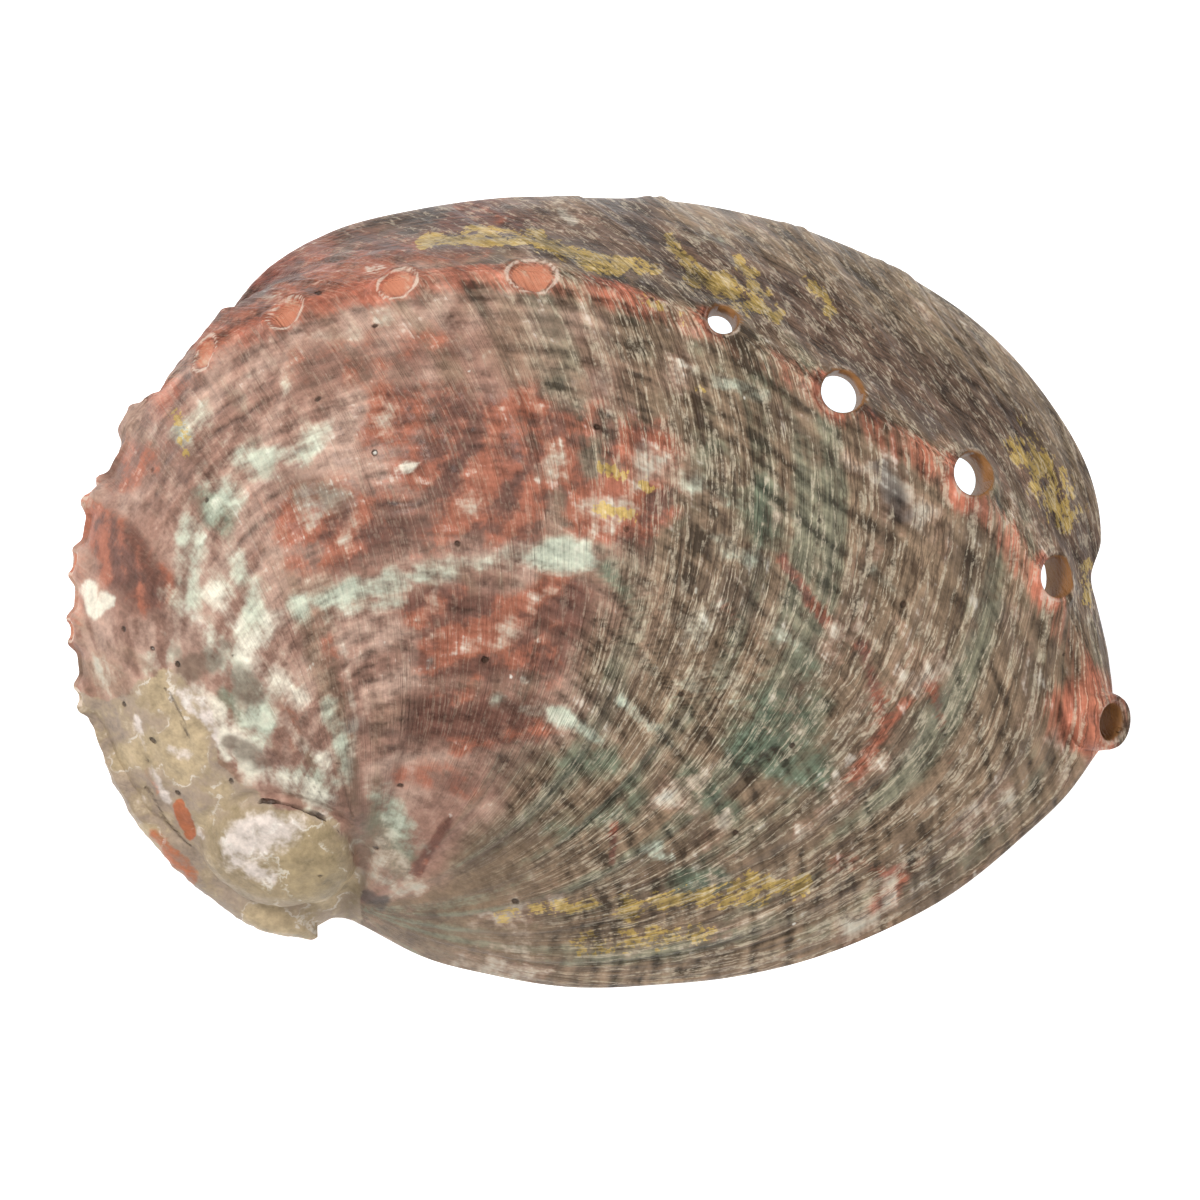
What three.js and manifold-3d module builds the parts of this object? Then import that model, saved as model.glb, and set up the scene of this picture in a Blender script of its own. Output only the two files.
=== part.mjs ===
// Abalone shell, lying mouth down on its rim, modelled as the one piece that it grew as.
// Millimetres, +Z up. The origin is under the middle of the shell, in the plane of the rim.
// Seen from above, +X points to the growing lip and +Y to the side with the row of holes.
import * as THREE from "three";
import { mergeVertices } from "three/addons/utils/BufferGeometryUtils.js";
import Module from "manifold-3d";

// Driving dimensions
const DOME_HEIGHT = 35; // crest above the rim plane
const CREST = [-12, 8]; // highest point, seen from above
const WALL = 2.6; // thickness of the dome
const LIP_WIDTH = 1.8; // width of the rim along the growing lip
const SHELF = { width: 9, middle: 150, reach: 125 }; // inner shelf under the row of holes
const SPIRE_SHELF = { extra: 3, middle: 222, reach: 32 }; // its broader part below the spire
const ROUNDNESS = { across: 2.25, acrossFrom: 125, up: 1.45, upFrom: 135, sway: 0.4 }; // of the dome's curves
const BULGE = { height: 13, inset: 4.5, middle: 190, reach: 80, share: 0.2 }; // overhang of the old end
const MOUTH_STEP = 0.8; // past this step the hollow's wall turns in to the mouth
const FAN = [-29.6, -37.9]; // where every growth line meets the spire
const CURL = { lip: 0.51, swell: 0.19, ease: 0.43, middle: 42.4, past: 1.4 }; // how growth lines bend
const ROW_LENGTH = 80; // from the spire to the row of holes, on the middle growth lines
const SPIRE = { x: -38.6, y: -31.6, long: 9.6, short: 6.2, turn: -12, rise: 2.6 };
const GRID = 38; // cells along each side of the surface grid

// Outline from above, from the notch beside the spire round by the lip
const OUTLINE = [
  [-32, -39.4], [-29, -40.2], [-21, -44.4], [-13, -46.5], [-3, -48], [7, -47.7], [16, -46.8], [25, -44.8],
  [34, -41.4], [43, -36.6], [51, -30.2], [57.9, -23.4], [61.8, -16], [62.1, -9], [60.6, -1.5], [59.9, 2],
  [61.1, 6.5], [59.7, 14.5], [55, 23], [47, 32], [37.2, 38.7], [26, 43.8], [14, 46.9], [0, 48], [-12, 48],
  [-22.1, 46.6], [-32.5, 43.9], [-42.8, 37.5], [-49.6, 27.7], [-55.7, 18.5], [-60.1, 9.2], [-62.1, -0.8],
  [-61.2, -11.3], [-57.3, -23.4], [-51.8, -32.6], [-45, -38.2], [-38.9, -40.7], [-35.5, -41],
];

// The row of holes from the lip back: centre, radius, whether it is still open, and how far its bore leans
// from the surface's own direction to upright
const HOLES = [
  { x: 61.5, y: -15.6, radius: 2.2, open: true, spout: true, lean: 0 },
  { x: 53.9, y: 1.9, radius: 2.5, open: true, lean: 0.3 },
  { x: 43.8, y: 13.9, radius: 2.7, open: true, lean: 0.8 },
  { x: 28.6, y: 23.6, radius: 2.7, open: true, lean: 2 },
  { x: 14.4, y: 31.8, radius: 2.0, open: true, lean: 1 },
  { x: -7.9, y: 38.2, radius: 2.9 },
  { x: -24.5, y: 37.3, radius: 2.4 },
  { x: -37.8, y: 33.6, radius: 2.4 },
  { x: -47.5, y: 28.6, radius: 2.2 },
  { x: -56.2, y: 20.2, radius: 2.0 },
  { x: -61.2, y: 11.6, radius: 1.9 },
  { x: -63.2, y: 3.2, radius: 1.8 },
  { x: -63.4, y: -4.8, radius: 1.7 },
  { x: -62.0, y: -12.6, radius: 1.6 },
];
const COLLAR = { rise: 1.6, width: 2.4, lip: 1.3, root: 1.6, sealed: 0.45 }; // round each hole
const SCAR = { depth: 0.8, slope: 0.8, inset: 0.5 }; // dish in a sealed hole
const BORE_REACH = 12; // how far an open hole's cutter runs inwards
const ROUND_SIDES = 14;
const SPOUT = { height: 4.7, lift: 40, turn: -8, swell: 3.4, reach: 4.2 }; // the newest hole, at the lip

// Growth halts: angle of the growth line in degrees, and height of the step there
const HALTS = [
  [118, 0.7], [105, 0.9], [84, 0.7], [57, 0.8], [42, 0.9], [28, 0.6], [15, 0.9], [3, 0.7], [-8, 0.6],
];
const KEEL = { height: 1.4, width: 3.4 }; // ridge that carries the holes
const GROOVE = { depth: 1.9, width: 2.8, past: 7, from: 24 }; // furrow outside the row
const CORD = { height: 0.25, spacing: 5.5 }; // raised cords that run along the shell

const degrees = (radians) => (radians * 180) / Math.PI;
const radians = (angle) => (angle * Math.PI) / 180;
const clamp = (value, low, high) => Math.min(high, Math.max(low, value));
const smooth = (value) => {
  const t = clamp(value, 0, 1);
  return t * t * (3 - 2 * t);
};
const bell = (distance, width) => Math.exp(-((distance / width) ** 2));

// A smooth curve through [angle, value] pairs that repeats every turn.
function aroundTurn(pairs) {
  const sorted = [...pairs].sort((a, b) => a[0] - b[0]);
  const count = sorted.length;
  const at = (i) => {
    const turn = Math.floor(i / count);
    const [angle, value] = sorted[i - turn * count];
    return [angle + 360 * turn, value];
  };
  return (angle) => {
    let a = angle;
    while (a < sorted[0][0]) a += 360;
    while (a >= sorted[0][0] + 360) a -= 360;
    let i = count - 1;
    while (i > 0 && sorted[i][0] > a) i--;
    return hermite([at(i - 1), at(i), at(i + 1), at(i + 2)], a);
  };
}

function hermite([p0, p1, p2, p3], a) {
  const span = p2[0] - p1[0];
  const t = (a - p1[0]) / span;
  const m1 = ((p2[1] - p0[1]) / (p2[0] - p0[0])) * span;
  const m2 = ((p3[1] - p1[1]) / (p3[0] - p1[0])) * span;
  const t2 = t * t;
  const t3 = t2 * t;
  const start = (2 * t3 - 3 * t2 + 1) * p1[1] + (t3 - 2 * t2 + t) * m1;
  const end = (3 * t2 - 2 * t3) * p2[1] + (t3 - t2) * m2;
  return start + end;
}

// Angle and distance of a place seen from the crest.
const fromCrest = (x, y) => {
  const dx = x - CREST[0];
  const dy = y - CREST[1];
  return [degrees(Math.atan2(dy, dx)), Math.hypot(dx, dy)];
};

const outlineRadius = aroundTurn(OUTLINE.map(([x, y]) => fromCrest(x, y)));

// Share of a feature that is full at one direction from the crest and gone at the given reach.
const facing = (angle, middle, reach) => {
  const away = Math.abs(((angle - middle + 540) % 360) - 180);
  return smooth(1 - away / reach);
};

// A point of the smooth outer form. step runs from 0 at the crest to 1 at the rim.
function domePoint(angle, step) {
  const reach = outlineRadius(angle);
  const across = ROUNDNESS.across + ROUNDNESS.sway * Math.cos(radians(angle - ROUNDNESS.acrossFrom));
  const up = ROUNDNESS.up + ROUNDNESS.sway * Math.cos(radians(angle - ROUNDNESS.upFrom));
  const old = facing(angle, BULGE.middle, BULGE.reach);
  const foot = BULGE.height * old;
  const inset = BULGE.inset * old;
  const turning = 1 - BULGE.share * old;
  let radius;
  let z;
  if (step <= turning) {
    const bend = (step / turning) * (Math.PI / 2);
    radius = reach * Math.sin(bend) ** (2 / across);
    z = foot + (DOME_HEIGHT - foot) * Math.max(0, Math.cos(bend)) ** (2 / up);
  } else {
    const down = (step - turning) / (1 - turning);
    radius = reach - inset * down * down;
    z = foot * (1 - down);
  }
  const a = radians(angle);
  return new THREE.Vector3(CREST[0] + radius * Math.cos(a), CREST[1] + radius * Math.sin(a), z);
}

// Angle and distance of a point seen from the fan point, the angle running from -120 to 240.
function fromFan(x, y) {
  let angle = degrees(Math.atan2(y - FAN[1], x - FAN[0]));
  if (angle < -120) angle += 360;
  return [angle, Math.hypot(x - FAN[0], y - FAN[1])];
}

const rowDistance = aroundTurn([
  ...HOLES.map(({ x, y }) => fromFan(x, y)),
  [185, 17], [215, 12], [-60, 96], [-20, 97],
]);

// Growth angle of a point, and its place from the spire (0) to the row of holes (1) and past it.
function growthPlace(x, y, drop = 0) {
  const [seen, distance] = fromFan(x, y);
  const past = Math.max(0, distance - rowDistance(seen)) + drop;
  const swept = seen - CURL.past * past;
  const reach = past > 0 ? rowDistance(swept) : distance;
  let growth = swept;
  for (let i = 0; i < 6; i++) {
    const curl = CURL.lip + CURL.swell * smooth(growth / 20) - CURL.ease * smooth((growth - 60) / 45);
    growth = swept - curl * (reach - CURL.middle);
  }
  const inner = distance / rowDistance(seen + 0.4 * (rowDistance(seen) - distance));
  const along = past > 0 ? 1 + past / ROW_LENGTH : inner;
  return { growth, along: Math.max(along, 0), past };
}

// Distance from the middle of the spire, 1 on its edge.
function spireShare(x, y) {
  const a = radians(SPIRE.turn);
  const dx = x - SPIRE.x;
  const dy = y - SPIRE.y;
  const lengthwise = (dx * Math.cos(a) + dy * Math.sin(a)) / SPIRE.long;
  return Math.hypot(lengthwise, (dy * Math.cos(a) - dx * Math.sin(a)) / SPIRE.short);
}

// Height of the ridges, grooves, steps and knobs that stand on the smooth form.
function relief(point, step) {
  const old = facing(fromCrest(point.x, point.y)[0], BULGE.middle, BULGE.reach);
  const [seen, distance] = fromFan(point.x, point.y);
  const under = smooth((distance / rowDistance(seen) - 0.6) / 0.2);
  const drop = step > 0.8 ? old * under * Math.max(0, BULGE.height - point.z) : 0;
  const { growth, along, past } = growthPlace(point.x, point.y, drop);
  const spire = spireShare(point.x, point.y);
  const clear = smooth((spire - 1) / 0.8);
  const fromRow = past > 0 ? past : (along - 1) * ROW_LENGTH;
  let height = KEEL.height * bell(fromRow, KEEL.width);
  height -= GROOVE.depth * bell(fromRow - GROOVE.past, GROOVE.width) * smooth((growth - GROOVE.from) / 14);
  for (const [angle, size] of HALTS) {
    const beyond = growth - angle;
    height += smooth(along / 0.4) * size * (smooth(beyond / 2 + 0.5) - smooth(beyond / 11 + 0.1));
  }
  const corded = smooth((along - 0.3) / 0.3) * smooth((0.97 - along) / 0.05);
  height += CORD.height * corded * Math.cos((along * ROW_LENGTH * 2 * Math.PI) / CORD.spacing);
  height *= clear;
  height += SPIRE.rise * Math.max(0, 1 - spire ** 2.4) ** 0.7 - bell(spire - 1.08, 0.14);
  return height * smooth((1 - step) / 0.1);
}

// Height that the lip gains under the newest hole.
function spoutSwell({ x, y }, step) {
  const away = Math.hypot(x - HOLES[0].x, y - HOLES[0].y);
  return SPOUT.swell * bell(away, SPOUT.reach) * smooth((1 - step) / 0.03);
}

function outerPoint(angle, step) {
  const base = domePoint(angle, step);
  const swell = spoutSwell(base, step);
  const point = base.clone().addScaledVector(domeNormal(angle, step), relief(base, step));
  point.z = Math.max(0, point.z + swell);
  return point;
}

function domeNormal(angle, step) {
  const s = clamp(step, 0.02, 0.985);
  const round = domePoint(angle + 1, s).sub(domePoint(angle - 1, s));
  const down = domePoint(angle, s + 0.01).sub(domePoint(angle, s - 0.01));
  return round.cross(down).normalize().multiplyScalar(-1);
}

// Width of the rim: a narrow lip, and a broad shelf along the side with the holes and round the spire.
function rimWidth(angle) {
  const broad = (SHELF.width - LIP_WIDTH) * facing(angle, SHELF.middle, SHELF.reach);
  return LIP_WIDTH + broad + SPIRE_SHELF.extra * facing(angle, SPIRE_SHELF.middle, SPIRE_SHELF.reach);
}

// A point of the hollow. step runs from 0 under the crest to 1 at the edge of the mouth.
function innerPoint(angle, step) {
  const last = MOUTH_STEP;
  const wall = (at) => {
    const p = domePoint(angle, at).addScaledVector(domeNormal(angle, at), -WALL);
    return [fromCrest(p.x, p.y)[1], p.z];
  };
  const turnPoint = wall(last);
  const before = wall(last - 0.02);
  const rim = domePoint(angle, 1);
  const mouth = fromCrest(rim.x, rim.y)[1] - rimWidth(angle);
  const fall = Math.max(0.3, (turnPoint[1] * 0.6) / Math.max(0.01, before[1] - turnPoint[1]));
  const ahead = [0, 1].map((k) => turnPoint[k] + Math.min(fall, 12) * 0.5 * (turnPoint[k] - before[k]));
  const above = [mouth, turnPoint[1] * 0.4];
  let place = step <= last ? wall(step) : null;
  if (!place) {
    const t = (step - last) / (1 - last);
    const weights = [(1 - t) ** 3, 3 * t * (1 - t) ** 2, 3 * t * t * (1 - t), t ** 3];
    const frame = [turnPoint, ahead, above, [mouth, 0]];
    place = [0, 1].map((k) => frame.reduce((sum, p, n) => sum + weights[n] * p[k], 0));
  }
  const a = radians(angle);
  return new THREE.Vector3(CREST[0] + place[0] * Math.cos(a), CREST[1] + place[0] * Math.sin(a), place[1]);
}

// Centre of a square grid cell corner on a disc: distance from the middle and angle.
function discPlace(i, j) {
  const a = (2 * i) / GRID - 1;
  const b = (2 * j) / GRID - 1;
  const step = Math.max(Math.abs(a), Math.abs(b));
  if (step === 0) return [0, 0];
  let angle;
  if (Math.abs(a) >= Math.abs(b)) angle = 45 * (b / a) + (a < 0 ? 180 : 0);
  else angle = 90 - 45 * (a / b) + (b < 0 ? 180 : 0);
  return [step, angle];
}

function shellGeometry() {
  const side = GRID + 1;
  const positions = [];
  for (const pointAt of [outerPoint, innerPoint]) {
    for (let j = 0; j < side; j++) {
      for (let i = 0; i < side; i++) {
        const [step, angle] = discPlace(i, j);
        positions.push(...pointAt(angle, step).toArray());
      }
    }
  }
  const index = [];
  const below = side * side;
  for (let j = 0; j < GRID; j++) {
    for (let i = 0; i < GRID; i++) {
      const a = j * side + i;
      const b = a + 1;
      const c = a + side + 1;
      const d = a + side;
      const leaning = (i < GRID / 2) === (j < GRID / 2);
      const quads = leaning ? [a, b, c, a, c, d] : [a, b, d, b, c, d];
      index.push(...quads);
      for (let k = 0; k < 6; k += 3) {
        index.push(below + quads[k], below + quads[k + 2], below + quads[k + 1]);
      }
    }
  }
  const edge = [];
  for (let i = 0; i < GRID; i++) edge.push(i);
  for (let j = 0; j < GRID; j++) edge.push(j * side + GRID);
  for (let i = GRID; i > 0; i--) edge.push(GRID * side + i);
  for (let j = GRID; j > 0; j--) edge.push(j * side);
  edge.forEach((a, k) => {
    const b = edge[(k + 1) % edge.length];
    index.push(a, below + b, b, a, below + a, below + b);
  });
  const geometry = new THREE.BufferGeometry();
  geometry.setAttribute("position", new THREE.Float32BufferAttribute(positions, 3));
  geometry.setIndex(index);
  return geometry;
}

// Where a hole sits on the outer form: its point, and the way out of the shell there.
function holePlace({ x, y, spout }) {
  if (spout) {
    const lift = radians(SPOUT.lift);
    const turn = radians(SPOUT.turn);
    const level = Math.cos(lift);
    const out = new THREE.Vector3(level * Math.cos(turn), level * Math.sin(turn), Math.sin(lift));
    return { point: new THREE.Vector3(x, y, SPOUT.height), out };
  }
  const [angle, wanted] = fromCrest(x, y);
  let low = 0;
  let high = 1 - BULGE.share * facing(angle, BULGE.middle, BULGE.reach);
  for (let i = 0; i < 30; i++) {
    const middle = (low + high) / 2;
    const p = domePoint(angle, middle);
    if (fromCrest(p.x, p.y)[1] < wanted) low = middle;
    else high = middle;
  }
  return { point: outerPoint(angle, low), out: domeNormal(angle, low) };
}

const wasm = await Module();
wasm.setup();

function solidOf(geometry) {
  const bare = geometry.clone();
  bare.deleteAttribute("normal");
  bare.deleteAttribute("uv");
  const merged = mergeVertices(bare, 1e-4);
  return new wasm.Manifold(
    new wasm.Mesh({
      numProp: 3,
      vertProperties: merged.attributes.position.array,
      triVerts: new Uint32Array(merged.index.array),
    }),
  );
}

// A lathe shape about a hole's own axis, from a profile of radius and height above the surface.
// upward turns the axis from the surface's own direction to upright.
function turned(hole, profile, upward = 0) {
  const { point, out } = holePlace(hole);
  out.z += upward;
  out.normalize();
  const geometry = new THREE.LatheGeometry(profile.map(([r, z]) => new THREE.Vector2(r, z)), ROUND_SIDES);
  const upright = new THREE.Quaternion().setFromUnitVectors(new THREE.Vector3(0, 1, 0), out);
  geometry.applyMatrix4(new THREE.Matrix4().compose(point, upright, new THREE.Vector3(1, 1, 1)));
  return solidOf(geometry);
}

function collar(hole) {
  const foot = hole.radius + COLLAR.width;
  const rise = hole.open ? COLLAR.rise : COLLAR.rise * COLLAR.sealed;
  const top = hole.radius + COLLAR.lip;
  return turned(hole, [[0, -COLLAR.root], [foot, -COLLAR.root], [foot - 0.2, -0.4], [top, rise], [0, rise]]);
}

function bore(hole) {
  const r = hole.radius;
  if (hole.open) {
    const above = BORE_REACH / 2;
    return turned(hole, [[0, -BORE_REACH], [r, -BORE_REACH], [r, above], [0, above]], hole.lean);
  }
  const top = COLLAR.rise * COLLAR.sealed;
  const floor = top - SCAR.depth;
  const mouth = r - SCAR.inset + SCAR.slope;
  return turned(hole, [[0, floor], [r - SCAR.inset, floor], [mouth, top + 1], [0, top + 1]]);
}

function shell() {
  let solid = solidOf(shellGeometry());
  for (const hole of HOLES) solid = solid.add(collar(hole));
  for (const hole of HOLES) solid = solid.subtract(bore(hole));
  return solid;
}

function meshOf(solid, name, material) {
  const { vertProperties, triVerts } = solid.getMesh();
  const geometry = new THREE.BufferGeometry();
  geometry.setAttribute("position", new THREE.BufferAttribute(vertProperties, 3));
  geometry.setIndex(new THREE.BufferAttribute(triVerts, 1));
  geometry.computeVertexNormals();
  const mesh = new THREE.Mesh(geometry, material);
  mesh.name = name;
  return mesh;
}

const mottled = new THREE.MeshStandardMaterial({ color: 0x8a6a5c, roughness: 0.45, metalness: 0 });
const abalone = new THREE.Group();
abalone.add(meshOf(shell(), "shell", mottled));

export default abalone;
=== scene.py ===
# Abalone shell, mouth down, seen from above. Lengths below are in millimetres unless they say otherwise.
import math

import bmesh
import bpy
import numpy as np
from mathutils import Matrix, Vector


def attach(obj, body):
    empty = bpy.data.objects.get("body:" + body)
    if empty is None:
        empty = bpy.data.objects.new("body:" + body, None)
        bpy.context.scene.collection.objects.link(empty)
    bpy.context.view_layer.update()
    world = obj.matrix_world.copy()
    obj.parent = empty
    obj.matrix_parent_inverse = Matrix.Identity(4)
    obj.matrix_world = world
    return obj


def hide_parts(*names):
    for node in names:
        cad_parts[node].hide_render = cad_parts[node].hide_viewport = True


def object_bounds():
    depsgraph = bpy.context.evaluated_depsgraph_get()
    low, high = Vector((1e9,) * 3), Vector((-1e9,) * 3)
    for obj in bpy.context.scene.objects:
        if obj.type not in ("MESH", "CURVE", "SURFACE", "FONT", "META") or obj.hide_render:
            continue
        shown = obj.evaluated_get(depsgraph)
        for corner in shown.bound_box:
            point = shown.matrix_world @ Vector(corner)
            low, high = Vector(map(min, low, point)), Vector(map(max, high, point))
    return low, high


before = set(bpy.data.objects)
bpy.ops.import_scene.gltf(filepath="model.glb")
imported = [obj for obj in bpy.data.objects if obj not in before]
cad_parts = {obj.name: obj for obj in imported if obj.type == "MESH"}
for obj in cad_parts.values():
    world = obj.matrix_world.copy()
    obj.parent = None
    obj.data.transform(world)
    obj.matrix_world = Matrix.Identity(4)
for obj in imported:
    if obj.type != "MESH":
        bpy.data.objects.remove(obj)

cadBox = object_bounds()
millimetre = 0.001

shellForm = {
    "domeHeight": 35.0,
    "crest": (-12.0, 8.0),
    "wall": 2.6,
    "lipWidth": 1.8,
    "shelfWidth": 9.0,
    "bulge": {"height": 13.0, "inset": 4.5, "middle": 190.0, "reach": 80.0},  # overhang of the old end
    "fan": (-29.6, -37.9),  # where every growth line meets the spire
    "keel": {"height": 1.4, "width": 3.4},
    "groove": {"depth": 1.9, "width": 2.8, "past": 7.0, "from": 24.0},
    "rowReach": 80.0,  # the way from the fan to the row, as along counts it
    "outerCells": 280,
    "innerCells": 120,
}
spire = {"x": -38.6, "y": -31.6, "long": 9.6, "short": 6.2, "turn": -12.0, "rise": 2.2}
outline = [
    (-32, -39.4), (-29, -40.2), (-21, -44.4), (-13, -46.5), (-3, -48), (7, -47.7), (16, -46.8), (25, -44.8),
    (34, -41.4), (43, -36.6), (51, -30.2), (57.9, -23.4), (61.8, -16), (62.1, -9), (60.6, -1.5), (59.9, 2),
    (61.1, 6.5), (59.7, 14.5), (55, 23), (47, 32), (37.2, 38.7), (26, 43.8), (14, 46.9), (0, 48), (-12, 48),
    (-22.1, 46.6), (-32.5, 43.9), (-42.8, 37.5), (-49.6, 27.7), (-55.7, 18.5), (-60.1, 9.2), (-62.1, -0.8),
    (-61.2, -11.3), (-57.3, -23.4), (-51.8, -32.6), (-45, -38.2), (-38.9, -40.7), (-35.5, -41),
]
openHoles = [  # from the lip back: place, radius, and how far the bore leans upright
    {"x": 61.5, "y": -15.6, "radius": 2.2, "lean": 0.0},
    {"x": 53.9, "y": 1.9, "radius": 2.5, "lean": 0.3},
    {"x": 43.8, "y": 13.9, "radius": 2.7, "lean": 0.8},
    {"x": 28.6, "y": 23.6, "radius": 2.7, "lean": 2.0},
    {"x": 14.4, "y": 31.8, "radius": 1.85, "lean": 1.6},
]
sealedHoles = [
    {"x": -7.9, "y": 38.2, "radius": 2.9},
    {"x": -24.5, "y": 37.3, "radius": 2.4},
    {"x": -37.8, "y": 33.6, "radius": 2.4},
    {"x": -47.5, "y": 28.6, "radius": 2.2},
    {"x": -56.2, "y": 20.2, "radius": 2.0},
    {"x": -61.2, "y": 11.6, "radius": 1.9},
    {"x": -63.2, "y": 3.2, "radius": 1.8},
    {"x": -63.4, "y": -4.8, "radius": 1.7},
    {"x": -62.0, "y": -12.6, "radius": 1.6},
]
collar = {
    "rise": 1.2,
    "width": 3.6,
    "sealedShare": 0.8,  # of the rise, round a sealed hole
    "sealedWidth": 0.7,  # of the width
    "dish": 0.5,
    "oval": 0.9,
}
spout = {"height": 4.7, "lift": 40.0, "turn": -8.0, "swell": 3.4, "reach": 4.2}
halts = [  # growth angle in degrees, height of the step there
    (118, 0.7), (105, 0.9), (84, 0.7), (57, 0.8), (42, 0.9), (28, 0.6), (15, 0.9), (3, 0.7), (-8, 0.6),
]


def smooth(value):
    t = np.clip(value, 0.0, 1.0)
    return t * t * (3 - 2 * t)


def bell(distance, width):
    return np.exp(-((distance / width) ** 2))


def aroundTurn(pairs):  # a smooth curve through (angle, value) pairs that repeats every turn
    pairs = sorted(pairs)
    first = pairs[0][0]
    angles = np.array([p[0] for p in pairs], float)
    values = np.array([p[1] for p in pairs], float)
    angles = np.concatenate([angles[-2:] - 360, angles, angles[:3] + 360])
    values = np.concatenate([values[-2:], values, values[:3]])

    def at(angle):
        x = (np.asarray(angle, float) - first) % 360 + first
        i = np.clip(np.searchsorted(angles, x, side="right") - 1, 1, len(angles) - 3)
        span = angles[i + 1] - angles[i]
        t = (x - angles[i]) / span
        m1 = (values[i + 1] - values[i - 1]) / (angles[i + 1] - angles[i - 1]) * span
        m2 = (values[i + 2] - values[i]) / (angles[i + 2] - angles[i]) * span
        t2, t3 = t * t, t * t * t
        start = (2 * t3 - 3 * t2 + 1) * values[i] + (t3 - 2 * t2 + t) * m1
        return start + (3 * t2 - 2 * t3) * values[i + 1] + (t3 - t2) * m2

    return at


def latticeNoise(x, y, seed):  # soft noise from -1 to 1, one lump to each unit
    table = np.random.RandomState(seed).rand(256, 256) * 2 - 1
    i, j = np.floor(x).astype(int), np.floor(y).astype(int)
    u, v = smooth(x - i), smooth(y - j)
    corner = lambda a, b: table[(i + a) & 255, (j + b) & 255]
    low = corner(0, 0) * (1 - u) + corner(1, 0) * u
    high = corner(0, 1) * (1 - u) + corner(1, 1) * u
    return low * (1 - v) + high * v


def roughNoise(x, y, seed, octaves=4):
    total = 0.0
    for k in range(octaves):
        total = total + latticeNoise(x * 2**k + 17 * k, y * 2**k + 5 * k, seed + k) * 0.5**k
    return total / 1.6


crestX, crestY = shellForm["crest"]
fanX, fanY = shellForm["fan"]
bulge = shellForm["bulge"]
rowReach = shellForm["rowReach"]


def fromCrest(x, y):  # angle and distance seen from the crest
    return math.degrees(math.atan2(y - crestY, x - crestX)), math.hypot(x - crestX, y - crestY)


outlineRadius = aroundTurn([fromCrest(x, y) for x, y in outline])


def facing(angle, middle, reach):
    away = np.abs((angle - middle + 540) % 360 - 180)
    return smooth(1 - away / reach)


def domePoint(angle, step):  # the smooth outer form; step runs from 0 at the crest to 1 at the rim
    reach = outlineRadius(angle)
    across = 2.25 + 0.4 * np.cos(np.radians(angle - 125))
    up = 1.45 + 0.4 * np.cos(np.radians(angle - 135))
    old = facing(angle, bulge["middle"], bulge["reach"])
    foot = bulge["height"] * old
    turning = 1 - 0.2 * old
    bend = np.minimum(step / turning, 1) * math.pi / 2
    down = np.clip((step - turning) / np.maximum(1 - turning, 1e-6), 0, 1)
    radius = reach * np.sin(bend) ** (2 / across) - bulge["inset"] * old * down * down
    rise = (shellForm["domeHeight"] - foot) * np.maximum(0, np.cos(bend)) ** (2 / up)
    z = foot * (1 - down) + rise
    a = np.radians(angle)
    return np.stack([crestX + radius * np.cos(a), crestY + radius * np.sin(a), z], axis=-1)


def domeNormal(angle, step):
    s = np.clip(step, 0.02, 0.985)
    turning = domePoint(angle + 1, s) - domePoint(angle - 1, s)
    down = domePoint(angle, s + 0.01) - domePoint(angle, s - 0.01)
    out = np.cross(down, turning)
    return out / np.linalg.norm(out, axis=-1, keepdims=True)


def fromFan(x, y):
    angle = np.degrees(np.arctan2(y - fanY, x - fanX))
    return np.where(angle < -120, angle + 360, angle), np.hypot(x - fanX, y - fanY)


rowPairs = [tuple(float(v) for v in fromFan(h["x"], h["y"])) for h in openHoles + sealedHoles]
rowDistance = aroundTurn(rowPairs + [(185, 17), (215, 12), (-60, 96), (-20, 97)])


lineCurl = {  # how the growth lines turn away from the rays of the fan
    "from": 42.4, "young": 0.51, "middle": 0.19, "old": 0.43,
    "sweep": 6.4, "sweepFrom": 62.0,
}


def growthPlace(x, y, drop):  # growth angle, share of the way from spire to row, and distance past the row
    seen, distance = fromFan(x, y)
    past = np.maximum(0, distance - rowDistance(seen)) + drop
    beyond = past > 0
    swept = seen - 1.4 * past
    reach = np.where(beyond, rowDistance(swept), distance)
    growth = swept
    far = np.maximum(0, reach - lineCurl["sweepFrom"]) / 30
    sweep = lineCurl["sweep"] * far**2 * smooth((seen - 8) / 14)
    for _ in range(6):
        curl = lineCurl["young"] + lineCurl["middle"] * smooth(growth / 20)
        curl = curl - lineCurl["old"] * smooth((growth - 60) / 45)
        growth = swept - curl * (reach - lineCurl["from"]) - sweep * smooth((50 - growth) / 30)
    inner = distance / rowDistance(seen + 0.4 * (rowDistance(seen) - distance))
    return growth, np.maximum(np.where(beyond, 1 + past / rowReach, inner), 0), past


def spireShare(x, y):  # 1 on the edge of the spire
    a = math.radians(spire["turn"])
    dx, dy = x - spire["x"], y - spire["y"]
    along = (dx * math.cos(a) + dy * math.sin(a)) / spire["long"]
    return np.hypot(along, (dy * math.cos(a) - dx * math.sin(a)) / spire["short"])


def shellPlace(point):
    angle = np.degrees(np.arctan2(point[:, 1] - crestY, point[:, 0] - crestX))
    old = facing(angle, bulge["middle"], bulge["reach"])
    near = np.hypot(point[:, 0] - crestX, point[:, 1] - crestY) > 0.8 * outlineRadius(angle)
    seen, distance = fromFan(point[:, 0], point[:, 1])
    under = smooth((distance / rowDistance(seen) - 0.6) / 0.2)
    drop = np.where(near, old * under * np.maximum(0, bulge["height"] - point[:, 2]), 0)
    return growthPlace(point[:, 0], point[:, 1], drop)


def pastRow(along, past):  # distance from the row: past it above 0, short of it below 0
    return np.where(past > 0, past, (along - 1) * rowReach)


def lineStrength(growth, along):  # the ribs are worn smooth on the oldest part and fade into the spire
    return smooth((128 - growth) / 30) * smooth((along - 0.12) / 0.25)


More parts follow.
